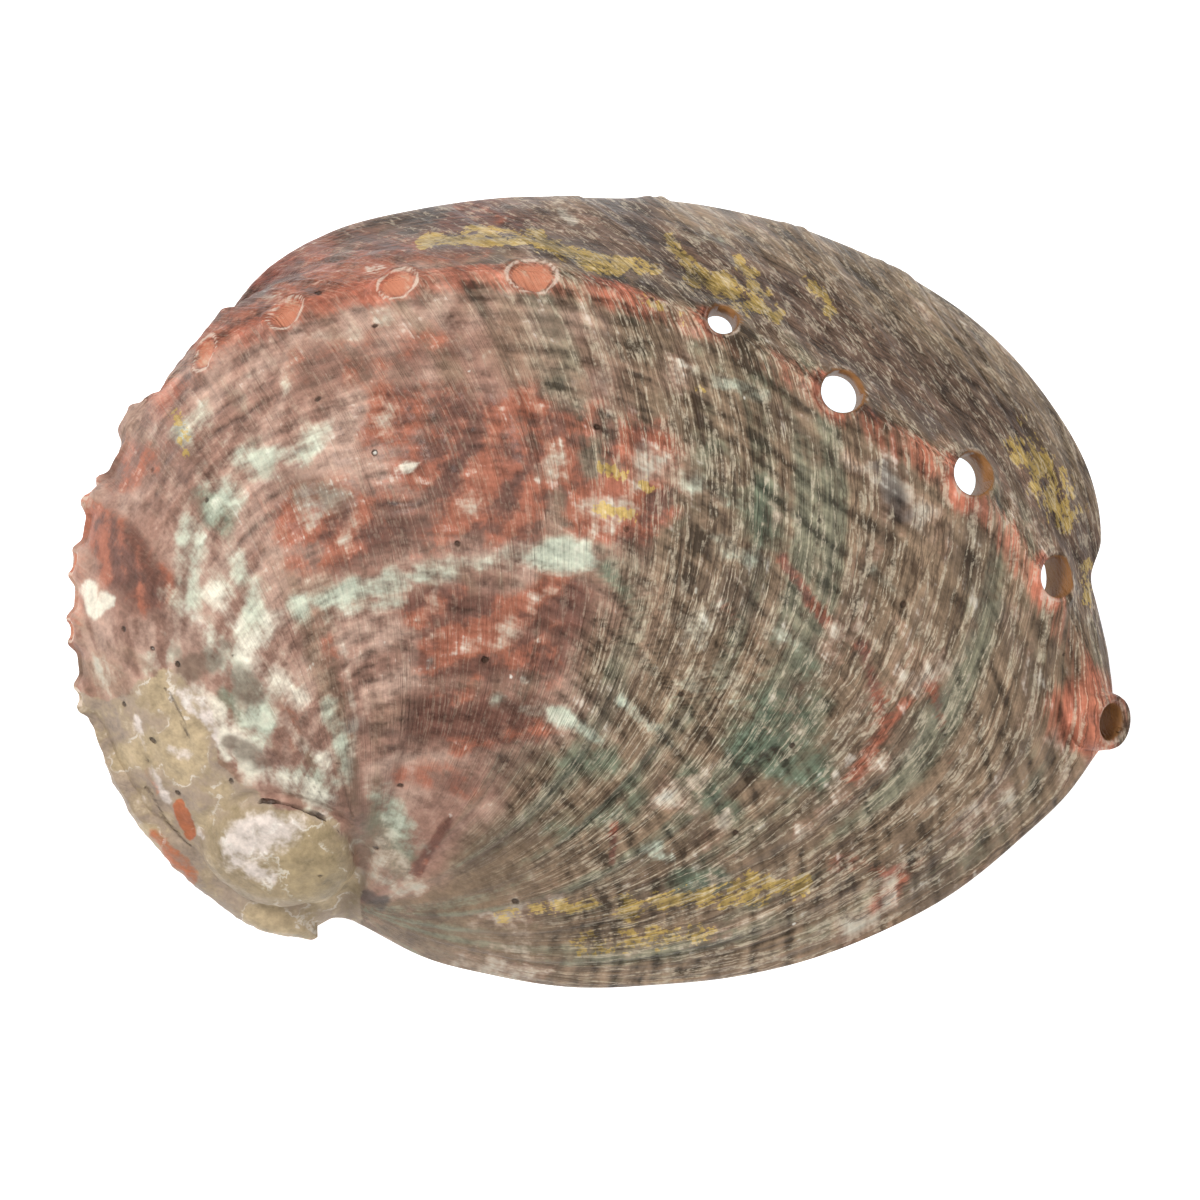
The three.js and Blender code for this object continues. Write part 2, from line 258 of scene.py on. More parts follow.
def growthRibs(growth, along):  # raised growth lines, uneven in spacing and height
    lean = growth + 0.5 * latticeNoise(growth / 4, along * 6, 61)
    ribs = 0.55 * latticeNoise(lean * 1.15, along * 5, 5) + 0.35 * latticeNoise(lean * 0.45, along * 3, 6)
    return ribs + 0.35 * latticeNoise(lean * 2.1, along * 9, 7)


def cordWaves(growth, along):  # low cords that run the length of the shell
    bend = along * rowReach + 0.8 * latticeNoise(growth / 6, along * 6, 8)
    strong = 0.6 + 0.4 * latticeNoise(growth / 8, along * 9, 9)
    turns = bend * 2 * math.pi
    wide, narrow = smallForms["cordSpacings"]
    return strong * (0.4 * np.cos(turns / wide) + 0.6 * np.cos(turns / narrow))


smallForms = {  # heights, and the sizes of the lumps
    "ribs": 0.27, "cords": 0.13, "ripple": 0.13,
    "cordSpacings": (3.3, 1.9),
    "swell": 0.5, "swellSize": 14.0,
    "wornLumps": 0.6, "wornSize": 3.2,
}


def relief(point, step):  # ridges, grooves, steps and growth lines on the smooth form
    growth, along, past = shellPlace(point)
    share = spireShare(point[:, 0], point[:, 1])
    clear = smooth((share - 1) / 0.5)
    fromRow = pastRow(along, past)
    keel, groove = shellForm["keel"], shellForm["groove"]
    height = keel["height"] * bell(fromRow, keel["width"])
    furrow = bell(fromRow - groove["past"], groove["width"]) * smooth((growth - groove["from"]) / 14)
    height = height - groove["depth"] * furrow
    wander = 2.0 * latticeNoise(growth / 9, along * 5, 3)
    for angle, size in halts:
        beyond = growth + wander - angle
        ledge = smooth(beyond / 1.6 + 0.5) - smooth(beyond / 9 + 0.1)
        height = height + smooth(along / 0.4) * size * ledge
    strength = lineStrength(growth, along)
    ripple = latticeNoise(growth * 0.75, along * 72, 15) * smooth((along - 0.3) / 0.2)
    fine = smallForms["ribs"] * growthRibs(growth, along) + smallForms["cords"] * cordWaves(growth, along)
    height = height + strength * (fine + smallForms["ripple"] * ripple)
    plan = point[:, :2] / smallForms["swellSize"]
    height = (height + smallForms["swell"] * roughNoise(plan[:, 0], plan[:, 1], 11)) * clear
    plan = point[:, :2] / smallForms["wornSize"]
    height = height + wornShare(point) * smallForms["wornLumps"] * roughNoise(plan[:, 0], plan[:, 1], 21)
    moat = bell(share - 1.08, 0.14) * (0.35 + 0.65 * smooth((point[:, 0] + 45) / 9))
    height = height + spire["rise"] * np.maximum(0, 1 - share**2.4) ** 0.7 - moat
    return height * smooth((1 - step) / 0.1)


wornEdge = [  # the old lower-left end, worn through to pearl: outline of the bare zone
    (-66, -12), (-58, -13), (-52, -10), (-47, -14), (-44, -22), (-40, -25), (-34, -26), (-30, -29),
    (-28.5, -34), (-30, -42), (-66, -46),
]


def fromLine(x, y, start, end):  # distance to a straight stretch
    (x0, y0), (x1, y1) = start, end
    dx, dy = x1 - x0, y1 - y0
    t = np.clip(((x - x0) * dx + (y - y0) * dy) / (dx**2 + dy**2 + 1e-9), 0, 1)
    return np.hypot(x - x0 - t * dx, y - y0 - t * dy)


def wornShare(point):
    x = point[:, 0] + 1.6 * roughNoise(point[:, 0] / 5, point[:, 1] / 5, 31)
    y = point[:, 1] + 1.6 * roughNoise(point[:, 0] / 5, point[:, 1] / 5, 37)
    within = np.zeros(len(x), bool)
    nearest = np.full(len(x), 1e9)
    for (x0, y0), (x1, y1) in zip(wornEdge, wornEdge[1:] + wornEdge[:1]):
        crossing = (y0 > y) != (y1 > y)
        within ^= crossing & (x < (x1 - x0) * (y - y0) / ((y1 - y0) or 1e-9) + x0)
        nearest = np.minimum(nearest, fromLine(x, y, (x0, y0), (x1, y1)))
    return smooth(0.5 + np.where(within, nearest, -nearest) / 3.0)


def onDome(angle, wanted):  # the shell's surface and outward direction at a distance from the crest
    low, high = 0.0, 1 - 0.2 * float(facing(angle, bulge["middle"], bulge["reach"]))
    for _ in range(30):
        middle = (low + high) / 2
        p = domePoint(np.array([angle]), np.array([middle]))[0]
        if fromCrest(p[0], p[1])[1] < wanted:
            low = middle
        else:
            high = middle
    base = domePoint(np.array([angle]), np.array([low]))
    out = domeNormal(np.array([angle]), np.array([low]))
    return base[0] + out[0] * relief(base, np.array([low])), out[0]


def holeFrames():  # place and outward direction of each hole
    lift, turn = math.radians(spout["lift"]), math.radians(spout["turn"])
    out = (math.cos(lift) * math.cos(turn), math.cos(lift) * math.sin(turn), math.sin(lift))
    frames = [(np.array([openHoles[0]["x"], openHoles[0]["y"], spout["height"]]), np.array(out))]
    for hole in (openHoles + sealedHoles)[1:]:
        angle, wanted = fromCrest(hole["x"], hole["y"])
        place, out = onDome(angle, wanted)
        if hole in sealedHoles:  # its collar stands out sideways, so it starts further in
            outwards = fromCrest(place[0], place[1])[1] - wanted
            place, out = onDome(angle, wanted - outwards - collar["rise"] / 2)
        frames.append((place, out))
    return frames


frames = holeFrames()


def besideHole(point, place, out):  # distance from a hole's axis, and along it
    d = point - place
    h = d @ out
    return np.linalg.norm(d - h[:, None] * out, axis=1), h


def besideScar(point, place, out):  # the same round a sealed hole, which is an oval along the row
    far, along = besideHole(point, place, out)
    towards = np.array([place[0] - crestX, place[1] - crestY, 0])
    towards = towards - out * (towards @ out)
    across = (point - place) @ (towards / np.linalg.norm(towards))
    return np.sqrt(far**2 + collar["oval"] * across**2), along


def collars(point):
    height = np.zeros(len(point))
    for hole, (place, out) in list(zip(openHoles + sealedHoles, frames))[1:]:  # the spout has its own tube
        sealed = hole in sealedHoles
        far, along = (besideScar if sealed else besideHole)(point, place, out)
        foot = hole["radius"] + collar["width"] * (collar["sealedWidth"] if sealed else 1.0)
        rise = collar["rise"] * (collar["sealedShare"] if sealed else 1.0)
        rise = rise * smooth((foot - far) / (foot - hole["radius"] - 0.3)) ** 1.3
        if sealed:
            rise = rise - collar["dish"] * smooth((hole["radius"] - far) / 0.9)
        height = height + smooth((9 - np.abs(along)) / 3) * rise
    return height


def outerPoint(angle, step):
    base = domePoint(angle, step)
    away = np.hypot(base[:, 0] - openHoles[0]["x"], base[:, 1] - openHoles[0]["y"])
    swell = spout["swell"] * bell(away, spout["reach"]) * smooth((1 - step) / 0.03)
    lift = relief(base, step) + collars(base) * smooth((1 - step) / 0.06)
    point = base + domeNormal(angle, step) * lift[:, None]
    point[:, 2] = np.maximum(0, point[:, 2] + swell)
    point[:, 2] -= 0.3 * np.maximum(0, point[:, 2] - shellForm["domeHeight"])
    low, high = np.array(cadBox) / millimetre
    point[:, :2] = np.clip(point[:, :2], low[:2], high[:2])
    return point


def rimWidth(angle):
    broad = shellForm["shelfWidth"] - shellForm["lipWidth"]
    return shellForm["lipWidth"] + broad * facing(angle, 150, 125) + 3 * facing(angle, 222, 32)


def innerPoint(angle, step):  # the hollow; step runs from 0 under the crest to 1 at the edge of the mouth
    last = 0.8

    def wall(at):
        p = domePoint(angle, at) - domeNormal(angle, at) * shellForm["wall"]
        return np.stack([np.hypot(p[:, 0] - crestX, p[:, 1] - crestY), p[:, 2]], axis=1)

    full = np.ones_like(step)
    turnPoint = wall(full * last)
    before = wall(full * (last - 0.02))
    rim = domePoint(angle, full)
    mouth = np.hypot(rim[:, 0] - crestX, rim[:, 1] - crestY) - rimWidth(angle)
    fall = np.maximum(0.3, turnPoint[:, 1] * 0.6 / np.maximum(0.01, before[:, 1] - turnPoint[:, 1]))
    ahead = turnPoint + (np.minimum(fall, 12) * 0.5)[:, None] * (turnPoint - before)
    above = np.stack([mouth, turnPoint[:, 1] * 0.4], axis=1)
    end = np.stack([mouth, 0 * mouth], axis=1)
    t = np.clip((step - last) / (1 - last), 0, 1)[:, None]
    u = 1 - t
    curve = u**3 * turnPoint + 3 * t * u**2 * ahead + 3 * t**2 * u * above + t**3 * end
    place = np.where(step[:, None] <= last, wall(np.minimum(step, last)), curve)
    a = np.radians(angle)
    x, y = crestX + place[:, 0] * np.cos(a), crestY + place[:, 0] * np.sin(a)
    return np.stack([x, y, place[:, 1]], axis=1)


def discPlace(a, b):  # a square grid's corner as distance from the middle and angle
    step = np.maximum(np.abs(a), np.abs(b))
    safe = np.where(step == 0, 1, step)
    flat = np.abs(a) >= np.abs(b)
    side = np.where(flat, 45 * b / np.where(flat, a, safe) + np.where(a < 0, 180, 0), 0)
    top = 90 - 45 * a / np.where(flat, safe, b) + np.where(b < 0, 180, 0)
    return step, np.where(step == 0, 0, np.where(flat, side, top))


def addSheet(bm, cells, pointAt):  # a square grid bent into the dome or the hollow
    made = bmesh.ops.create_grid(bm, x_segments=cells, y_segments=cells, size=1)
    verts = made["verts"]
    flat = np.array([v.co[:2] for v in verts])
    step, angle = discPlace(np.round(flat[:, 0], 6), np.round(flat[:, 1], 6))
    for vert, place in zip(verts, pointAt(angle, np.clip(step, 0, 1))):
        vert.co = place * millimetre
    return verts


def boundaryOf(verts):
    wanted = set(verts)
    return [e for v in verts for e in v.link_edges if e.is_boundary and e.verts[0] in wanted]


def makeShell():
    bm = bmesh.new()
    insideLayer = bm.verts.layers.float.new("inside")
    outer = addSheet(bm, shellForm["outerCells"], outerPoint)
    inner = addSheet(bm, shellForm["innerCells"], innerPoint)
    for vert in inner:
        vert[insideLayer] = 1.0
    bmesh.ops.reverse_faces(bm, faces=list({f for v in inner for f in v.link_faces}))
    rims = list(set(boundaryOf(outer)) | set(boundaryOf(inner)))
    bmesh.ops.bridge_loops(bm, edges=rims)
    for face in bm.faces:
        face.smooth = True
    mesh = bpy.data.meshes.new("shellBody")
    bm.to_mesh(mesh)
    bm.free()
    body = bpy.data.objects.new("shellBody", mesh)
    bpy.context.collection.objects.link(body)
    return body


def turnedShape(name, profile, place, out, sides=48):  # a lathe shape round a hole's axis
    bm = bmesh.new()
    points = [bm.verts.new((r * millimetre, 0, z * millimetre)) for r, z in profile]
    edges = [bm.edges.new(pair) for pair in zip(points, points[1:])]
    bmesh.ops.spin(
        bm, geom=points + edges, cent=(0, 0, 0), axis=(0, 0, 1),
        angle=2 * math.pi, steps=sides, use_merge=True,
    )
    bmesh.ops.remove_doubles(bm, verts=bm.verts, dist=1e-7)
    turn = Vector((0, 0, 1)).rotation_difference(Vector(out)).to_matrix().to_4x4()
    bmesh.ops.transform(bm, matrix=Matrix.Translation(Vector(place) * millimetre) @ turn, verts=bm.verts)
    bmesh.ops.recalc_face_normals(bm, faces=bm.faces)
    for face in bm.faces:
        face.smooth = True
    mesh = bpy.data.meshes.new(name)
    bm.to_mesh(mesh)
    bm.free()
    shape = bpy.data.objects.new(name, mesh)
    bpy.context.collection.objects.link(shape)
    return shape


def combine(body, tool, operation):
    cut = body.modifiers.new(operation, "BOOLEAN")
    cut.operation = operation
    cut.solver = "MANIFOLD"
    cut.object = tool
    graph = bpy.context.evaluated_depsgraph_get()
    done = bpy.data.meshes.new_from_object(body.evaluated_get(graph))
    body.modifiers.clear()
    body.data = done
    bpy.data.objects.remove(tool)


def borePath(hole):  # a cutter that widens at the mouth, so that the hole has a rolled lip
    r = hole["radius"]
    top = collar["rise"]
    return [
        (0, -11), (r * 0.96, -11), (r * 0.96, top - 1.1), (r * 1.0, top - 0.6), (r * 1.08, top - 0.25),
        (r * 1.22, top - 0.02), (r * 1.45, top + 0.15), (r * 1.45, top + 3), (0, top + 3),
    ]


print("shell: outer and inner surfaces")
shellBody = makeShell()

print("shell: spout and holes")
place, out = frames[0]
r = openHoles[0]["radius"]
tube = [
    (0, -2.6), (r + 1.6, -2.6), (r + 1.5, -0.8), (r + 1.2, 0.8), (r + 0.9, 1.5), (r + 0.4, 1.75), (0, 1.75),
]
combine(shellBody, turnedShape("spoutTube", tube, place, out), "UNION")
for index, hole in enumerate(openHoles):
    place, out = frames[index]
    upright = np.array([0, 0, hole["lean"]])
    combine(shellBody, turnedShape("bore", borePath(hole), place, out + upright), "DIFFERENCE")

print("shell: marks on the surface")


strokes = {  # markings: the points of each stroke, its half width, and its strength
    "red": [
        ([(-24.5, 20.5), (-9.5, 20.5)], 3.9, 0.8), ([(-36, 9), (-9.5, 9)], 3.9, 0.8),
        ([(-19, 15), (-8.5, 14.5)], 4.4, 1), ([(-4, 19.5), (5, 18)], 3.6, 0.8),
        ([(0, 11), (5, 9)], 3.2, 0.9), ([(-4.5, 15), (-1, 9)], 2.2, 0.8),
        ([(-20.5, -2.5), (-4.5, -1.5)], 2.9, 0.9), ([(-19, -7), (-7, -8)], 2.9, 0.9),
        ([(-4.5, -6), (0, -3.5)], 1.9, 0.6), ([(-20.5, -15.5), (-9.5, -15.5)], 3.2, 0.9),
        ([(-24, -21.5), (-15.5, -22.5)], 1.7, 0.5), ([(-59, 6.5), (-53, 0.5)], 3.4, 1),
        ([(-58, 15), (-48.5, 17.5)], 2.7, 0.6), ([(-37, -13), (-36, -18)], 1.6, 0.7),
        ([(-32.5, -6), (-30.5, -12)], 1.1, 0.5),
        ([(-48.5, 32), (-36, 36.5), (-24, 41.5), (-15.5, 43.5)], 2.9, 0.8),
        ([(-34, 27), (-19, 29.5)], 2.4, 0.4), ([(-15.5, 47), (-9.5, 44.5)], 1.6, 0.9),
        ([(22, 4), (27, -3.5)], 0.6, 0.9), ([(31.5, -6.5), (34.5, -16)], 0.6, 0.8),
        ([(40, -10.5), (42.5, -20.5)], 0.5, 0.7), ([(37, -13), (30.5, -22.5)], 0.5, 0.6),
        ([(2, -28), (1.5, -32.5)], 0.5, 0.9), ([(-18, -27.5), (-22, -33.5)], 0.6, 0.9),
        ([(27, -32.5), (36.5, -33.5)], 1.1, 0.5), ([(34, -38), (40, -31)], 0.8, 0.5),
        ([(14.5, -1), (19.5, -6)], 0.5, 0.5), ([(-42, -12), (-41, -15.5)], 1, 0.5),
        ([(-26.5, 4), (-36, 4)], 1.5, 0.5), ([(6, 19.5), (11, 18.5)], 1.5, 0.4),
        ([(-50.6, -25.6), (-49, -29)], 0.8, 1), ([(-54, -21.5), (-53.2, -24)], 0.7, 0.5),
        ([(-53.5, -29.5), (-49, -34.5)], 1.1, 0.6), ([(-19, 44.6), (-14, 46.6)], 1.6, 1),
    ],
    "sage": [
        ([(-32.5, -1), (-24, 1.8)], 1.5, 0.9), ([(-21, 2.4), (-12, 4)], 1.4, 0.8),
        ([(-10, 4.4), (-2, 4.6)], 1.7, 1), ([(-32.5, -3), (-24, -1.5)], 1.1, 0.7),
        ([(-43.5, 16), (-36, 16.5), (-32.5, 19.5)], 1.5, 0.8),
        ([(-50, 18.5), (-46.5, 13.5), (-43.5, 11)], 1.6, 0.8),
        ([(-48.5, 7.5), (-49.5, -1), (-52.5, -7)], 2.1, 0.9), ([(-43.5, 4), (-40, -6)], 1.7, 0.8),
        ([(-36, -1), (-35, -6)], 1.3, 0.8), ([(-46.5, -6), (-41, -12), (-40.5, -18)], 2.2, 0.8),
        ([(-42, -19), (-32.5, -24)], 1.9, 0.9), ([(-32.5, -13), (-30, -22.5)], 1.1, 0.8),
        ([(-12, -13), (-4.5, -14.5)], 1.1, 0.7), ([(-4.5, -14.5), (0, -17.5)], 0.8, 1),
        ([(3, -13), (8.5, -18)], 0.8, 1), ([(5, -9), (12.5, -12)], 1, 0.6),
        ([(-26.5, -24), (-21.5, -30)], 1.7, 0.5), ([(12.5, 26), (19.5, 23.5)], 1.1, 0.6),
        ([(11, 13.5), (17, 11)], 1.4, 0.5), ([(12.5, 6.5), (19.5, 4)], 1.3, 0.7),
        ([(7.5, 4), (14.5, -1)], 1.3, 0.6), ([(17, -3.5), (24.5, -6)], 1.1, 0.5),
        ([(33, 2.5), (36.5, 0)], 1, 0.6), ([(5.5, -30.5), (8.5, -32)], 1, 0.9),
        ([(-9.5, 46), (-6.5, 41.5)], 0.8, 0.4), ([(6, 43.5), (14.5, 42)], 1.1, 0.5),
        ([(-4.5, 19.5), (-4, 13.5)], 0.4, 0.2),
        ([(-54.5, 19.5), (-50.5, 18.5)], 1.2, 0.5), ([(-36, 32), (-29, 31)], 1.1, 0.4),
        ([(-42, 26), (-37.5, 24)], 1, 0.5),
        ([(-48, 12), (-45, 3), (-41, -7), (-37, -17), (-33, -24)], 3.2, 0.55),
        ([(-48, 20), (-40, 15)], 2.4, 0.5),
        ([(-52, 2), (-53, -8)], 2.0, 0.5), ([(10, -1), (16, -14)], 3.6, 0.32),
    ],
    "green": [
        ([(17, -18), (25.5, -20.5)], 3.4, 0.9), ([(19.5, -13), (24.5, -15.5)], 2.2, 0.7),
        ([(11, -22), (16, -26)], 1.8, 0.6), ([(-9.5, -21.5), (0, -20.5)], 2.9, 0.7),
        ([(-4.5, -27.5), (2.5, -25)], 2.7, 0.6), ([(9.5, -35), (14, -35)], 1.6, 0.8),
        ([(1, 3), (3, 0)], 1.2, 0.8), ([(12, 20), (20, 9)], 3.4, 0.6),
        ([(12.5, 29.5), (19.5, 26)], 1.7, 0.5), ([(-26.5, -26.5), (-23, -31)], 2.4, 0.5),
        ([(-47.5, 11), (-44.5, 7.5)], 1.8, 0.7), ([(-44.5, -13), (-40, -15.5)], 1.5, 0.6),
        ([(24.5, -8), (27, -13)], 1.5, 0.6), ([(6, 11), (11, 6.5)], 1.5, 0.5),
        ([(-14.5, 3), (-9.5, 1.5)], 1, 0.4), ([(-43.5, 23.5), (-41, 18.5)], 1.1, 0.5),
    ],
    "cream": [
        ([(-61.5, 0.5), (-60.5, -2.5), (-59, -1)], 0.8, 1),
        ([(-38.5, -3.5), (-42, -7), (-36, -13)], 1.6, 0.7),
        ([(-49.5, -12), (-41, -20.5), (-32.5, -25)], 1.5, 0.7), ([(-46, 0.5), (-43.5, -3.5)], 1.1, 0.6),
        ([(-23, 15), (-22, 15)], 0.6, 1), ([(-9, -10.5), (-8.5, -10.5)], 0.5, 1),
        ([(-4.5, 46), (-3, 44.5)], 0.5, 0.4), ([(-30.5, -6), (-29, -15.5), (-30, -25)], 0.6, 0.5),
        ([(-37.5, -15.5), (-32.5, -20.5)], 1.2, 0.6), ([(-48.5, -3.5), (-46.5, -7)], 1.2, 0.5),
        ([(-43.5, -30.6), (-38.5, -29.4)], 2.5, 1), ([(-42, -33.4), (-39.5, -34)], 1.1, 0.8),
        ([(-51.5, -19), (-49, -19.5)], 0.7, 0.8),
        ([(-55.5, -15), (-54.5, -19)], 0.4, 0.7), ([(-54, -21), (-52, -25)], 0.5, 0.8),
        ([(-50.5, -12), (-46, -17), (-44.5, -20)], 0.35, 0.9), ([(-49, -27), (-47.8, -29.5)], 0.4, 0.7),
    ],
    "plum": [
        ([(-49, -9), (-46.5, -8)], 1.5, 0.9), ([(-42.5, -10.5), (-41.5, -12)], 1.6, 0.9),
        ([(-44, -18), (-39.5, -20.5)], 1.1, 0.9), ([(-42, -25), (-37.5, -26.5)], 0.8, 0.6),
        ([(-32.5, -8), (-31, -13)], 1.1, 0.6), ([(-37.5, 13.5), (-30, 11)], 2.2, 0.5),
        ([(-41.5, 9), (-41, 6.5)], 1.2, 0.5), ([(-52, -6), (-50.5, -7)], 1, 0.6),
        ([(-36, -6), (-34.5, -8)], 0.8, 0.6), ([(-29.5, -20.5), (-28.5, -27.5)], 1, 0.7),
        ([(-7, 32), (0, 29.5)], 1.7, 0.4), ([(-45, -6), (-44, -6.5)], 0.7, 0.7),
    ],
    "slate": [
        ([(-7, 41.5), (0, 40), (3, 36.5)], 1.1, 1), ([(5, 36.5), (19, 34)], 1.2, 0.8),
        ([(31.5, 28), (40, 19.5)], 1.2, 0.6), ([(-15.5, 39), (-12, 40)], 0.7, 0.7),
        ([(-26, -6), (-20.5, -8.5)], 1.1, 0.5), ([(-30, -15.5), (-21.5, -18)], 1.1, 0.6),
        ([(-2, 29.5), (1, 25)], 1.5, 0.5), ([(-31.5, -36), (-26, -37.5)], 0.8, 0.8),
        ([(44, 4), (50, -6)], 1.7, 0.4), ([(2.5, 26), (5, 18.5)], 1.2, 0.4),
        ([(34, 15), (36.5, 9)], 1.2, 0.5), ([(-24, 4), (-26.5, 0.5)], 1, 0.3),
        ([(12.5, 41.5), (24.5, 35.5)], 1.1, 0.4), ([(-43.5, 34), (-36, 40)], 0.6, 0.6),
    ],
    "seam": [
        ([(-45, -27), (-41.5, -25.8)], 1.2, 0.2), ([(-39.6, -26), (-34.4, -28)], 1.3, 1),
        ([(-32.4, -29), (-30.6, -31.6)], 1, 0.9),
    ],
    # cracks: the material darkens them with painted shade
    "crack": [
        ([(-52, -11.5), (-50.5, -14), (-49.2, -17.5)], 0.3, 0.6),
        ([(-31.3, -20.5), (-29.6, -27)], 0.3, 0.5), ([(-35, -22), (-33, -24.7)], 0.25, 0.5),
        ([(-54.5, -23.5), (-52, -28), (-49, -31)], 0.3, 0.5), ([(-46, -29), (-45, -33)], 0.35, 0.4),
        ([(-33.5, 1.5), (-31.5, -8), (-30.5, -13)], 0.25, 0.35), ([(-28, -1), (-26.5, -10)], 0.22, 0.3),
    ],
    "ochre": [
        ([(-21, 42.5), (-7, 42.5)], 0.8, 1), ([(-15.5, 44), (-7, 43.5)], 0.6, 0.9),
        ([(-7, 42), (2.5, 38.5)], 1, 1), ([(-1, 40), (6, 39)], 1, 0.9), ([(11, 38.5), (21, 33.5)], 1.1, 1),
        ([(14, 37), (18.5, 35)], 1.5, 1), ([(17, 40), (20, 35.5)], 0.8, 0.9),
        ([(8.5, 42.5), (10.5, 40)], 0.7, 0.9), ([(25.5, 37.5), (28, 34)], 0.8, 0.9),
        ([(51.5, 17.5), (57, 10)], 2.2, 0.85), ([(59, 3.5), (59.5, -1)], 0.7, 0.9),
        ([(51.5, 21), (53.5, 16)], 0.6, 0.5), ([(0, 15), (3, 14)], 0.6, 0.9),
        ([(5.5, 13), (6, 12.5)], 0.6, 0.9), ([(0, 10), (4, 9)], 0.6, 1),
        ([(12, 24.5), (12.5, 24)], 0.5, 0.8), ([(2.5, -38), (24.5, -35.5)], 1.3, 0.8),
        ([(-2, -42.5), (12.5, -41)], 1.2, 0.75), ([(18, -34), (24.5, -36.5)], 0.7, 0.6),
        ([(-51, 21.5), (-49, 16)], 0.7, 0.6), ([(-32, -36), (-31.5, -36.5)], 0.5, 1),
        ([(-11.5, -39), (0, -37.5)], 0.9, 0.7), ([(5, 35.5), (11, 32)], 0.6, 0.5),
    ],
}


def strokeMark(x, y, points, width):  # 1 on a stroke, fading to 0 well outside it
    nearest = np.full(len(x), 1e9)
    for start, end in zip(points, points[1:]):
        nearest = np.minimum(nearest, fromLine(x, y, start, end))
    return smooth((1.8 - nearest / width) / 1.5)


def paintStrokes(x, y):
    marks = {}
    for kind, rows in strokes.items():
        total = np.zeros(len(x))
        for points, width, strength in rows:
            sway = min(2.4, 0.6 * width)
            dx = sway * roughNoise(x / (1.5 * width), y / (1.5 * width), 41)
            dy = sway * roughNoise(x / (1.5 * width), y / (1.5 * width), 47)
            total = np.maximum(total, strength * strokeMark(x + dx, y + dy, points, width))
        marks[kind] = total
    return marks


def writeMarks(body):
    mesh = body.data
    count = len(mesh.vertices)
    point = np.empty(count * 3)
    mesh.vertices.foreach_get("co", point)
    point = point.reshape(-1, 3) / millimetre
    inside = np.empty(count)
    mesh.attributes["inside"].data.foreach_get("value", inside)
    growth, along, past = shellPlace(point)
    x, y = point[:, 0], point[:, 1]
    mask = paintStrokes(x, y)
    fromRow = pastRow(along, past)
    side = np.where(fromRow < 0, -fromRow / 2.6, fromRow / 1.0)
    patchy = 0.72 + 0.5 * roughNoise(growth / 4, along * 10, 51)
    flush = smooth(1.5 - side) * patchy * (1 - 0.5 * smooth((growth - 100) / 15))
    scar = np.zeros(count)
    lip = np.zeros(count)
    bore = np.zeros(count)
    for hole, (place, out) in zip(openHoles + sealedHoles, frames):
        sealed = hole in sealedHoles
        far, deep = (besideScar if sealed else besideHole)(point, place, out)
        near = smooth((7 - np.abs(deep)) / 2)
        older = 0.7 if sealed else smooth(((place[0] - x) * 0.9 + 2.0) / 3.0)
        reach = hole["radius"] + (2.2 if sealed else 3.4)
        halo = near * smooth((reach - far) / 2.5) * (0.35 + 0.65 * older)
        flush = np.maximum(flush, halo * smooth(2.2 - side))
        if not sealed:
            upright = out + np.array([0, 0, hole["lean"]])
            middle, deep = besideHole(point, place, upright / np.linalg.norm(upright))
            bore = np.maximum(bore, near * smooth((hole["radius"] + 0.2 - middle) / 0.15))
            lip = np.maximum(lip, 0.6 * near * bell(middle - hole["radius"] - 0.4, 0.4))
        else:
            scar = np.maximum(scar, near * smooth((hole["radius"] - 0.2 - far) / 0.5))
            lip = np.maximum(lip, near * bell(far - hole["radius"] - 0.15, 0.34))
    flush = np.maximum(flush, 0.8 * smooth((8 - np.hypot(x - 59.5, y + 14)) / 5))
    old = smooth((growth - 45) / 25)
    # painted shade on the slope down into the groove past the row of holes
    groove = bell(fromRow - 4.2, 2.4) * smooth((growth - 20) / 20) * (1 - 0.6 * old)
    groove = groove * (0.65 + 0.8 * roughNoise(x / 4, y / 4, 55))
    pastShare = smooth(past / 5)
    worn = wornShare(point)
    across, down = growth * 1.45 * np.clip(along, 0.25, 1.1), along * rowReach
    boxes = latticeNoise(across / 3.6, 0 * down, 71) + latticeNoise(0 * across, down / 3.4, 72)
    boxes = 0.5 + 0.25 * (boxes + roughNoise(across / 4, down / 4, 73))
    bands = 0.5 + 0.5 * roughNoise(growth / 3.2, along * 2.5, 75)
    clouds = 0.5 + 0.5 * roughNoise(x / 5, y / 5, 77, 5)
    strength = lineStrength(growth, along)
    strength = np.maximum(strength * (1 - 0.2 * pastShare), 0.75 * pastShare)
    # rib and cord heights, which the material also turns into painted light and shade
    ribs = 0.5 + 0.5 * strength * growthRibs(growth, along)
    cords = 0.5 + 0.5 * strength * cordWaves(growth, along)
    layers = {
        "paintWarm": (mask["red"], mask["plum"], mask["ochre"]),
        "paintPale": (mask["sage"], mask["cream"], mask["green"]),
        "paintRow": (flush, scar, lip),
        "paintSide": (1 - inside, worn, bore),
        "paintDark": (np.maximum(groove * 0.8, mask["slate"]), strength, pastShare),
        "spireMark": (spireShare(x, y), mask["seam"], old * pastShare),
        "patches": (boxes, bands, clouds),
        "lines": (ribs, cords, mask["crack"]),
        "growthPlace": (growth, along + past / 22, past / 10),
    }
    for name, values in layers.items():
        data = np.stack([np.asarray(v, float) for v in values], axis=1)
        layer = mesh.attributes.new(name, "FLOAT_VECTOR", "POINT")
        layer.data.foreach_set("vector", data.ravel())


writeMarks(shellBody)


